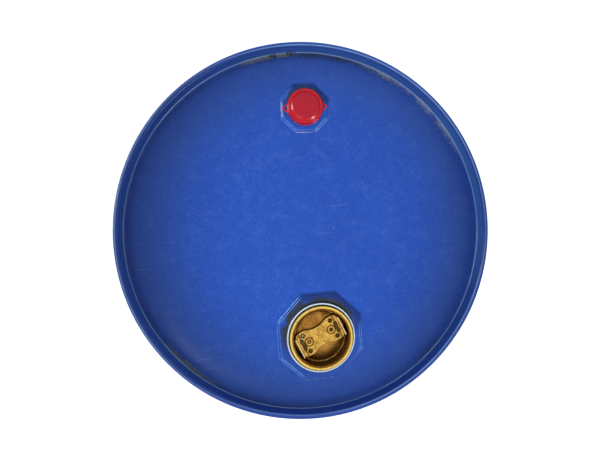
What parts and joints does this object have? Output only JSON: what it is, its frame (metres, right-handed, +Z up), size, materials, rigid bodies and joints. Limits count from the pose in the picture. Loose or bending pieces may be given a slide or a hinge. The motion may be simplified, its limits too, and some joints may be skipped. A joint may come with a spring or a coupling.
{
  "type": "steel drum",
  "caption": "Closed blue steel drum with folded chimes, rolling hoops, a large screw bung in a curled flange and a small bung under a red push-on cap.",
  "frame": {"origin": "centre of the bottom chime's circle, on the floor", "axes": "+Z up along the drum's axis, +Y from the large bung towards the small one"},
  "size_m": [0.3838, 0.3838, 0.62],
  "materials": {
    "blue_paint": "glossy blue paint, dirty and lightly worn",
    "zinc": "zinc-plated, slightly dull",
    "gold_plating": "gold passivated zinc, oil-stained",
    "black_rubber": "matt black",
    "seam_compound": "dull grey sealing compound",
    "red_plastic": "bright red moulded plastic"
  },
  "bodies": {
    "drum": {"body_shell": "blue_paint", "top_head": "blue_paint", "bottom_head": "blue_paint", "top_seam_sealant": "seam_compound", "bottom_seam_sealant": "seam_compound", "large_flange": "zinc", "large_flange_gasket": "black_rubber", "small_flange": "zinc", "small_flange_gasket": "black_rubber", "small_plug": "gold_plating", "small_plug_gasket": "black_rubber"},
    "large_plug_seal": {"large_plug_gasket": "black_rubber"},
    "large_plug": {"large_plug": "gold_plating", "wrench_plate": "gold_plating"},
    "cap_seal": {"cap_seal": "red_plastic"}
  },
  "joints": [
    {"name": "large_plug_lift", "type": "slide", "parent": "drum", "child": "large_plug_seal", "axis": [0, 0, 1], "range_m": [0, 0.01386]},
    {"name": "large_plug_turn", "type": "hinge", "parent": "large_plug_seal", "child": "large_plug", "pos_m": [0, -0.1093, 0.6164], "axis": [0, 0, 1], "range_deg": [0, 2160]},
    {"name": "cap_seal_pull", "type": "slide", "parent": "drum", "child": "cap_seal", "axis": [0, 0, 1], "range_m": [0, 0.03]}
  ],
  "couplings": [
    {"joint": "large_plug_lift", "follows": "large_plug_turn", "m_per_rad": 0.00036749}
  ]
}
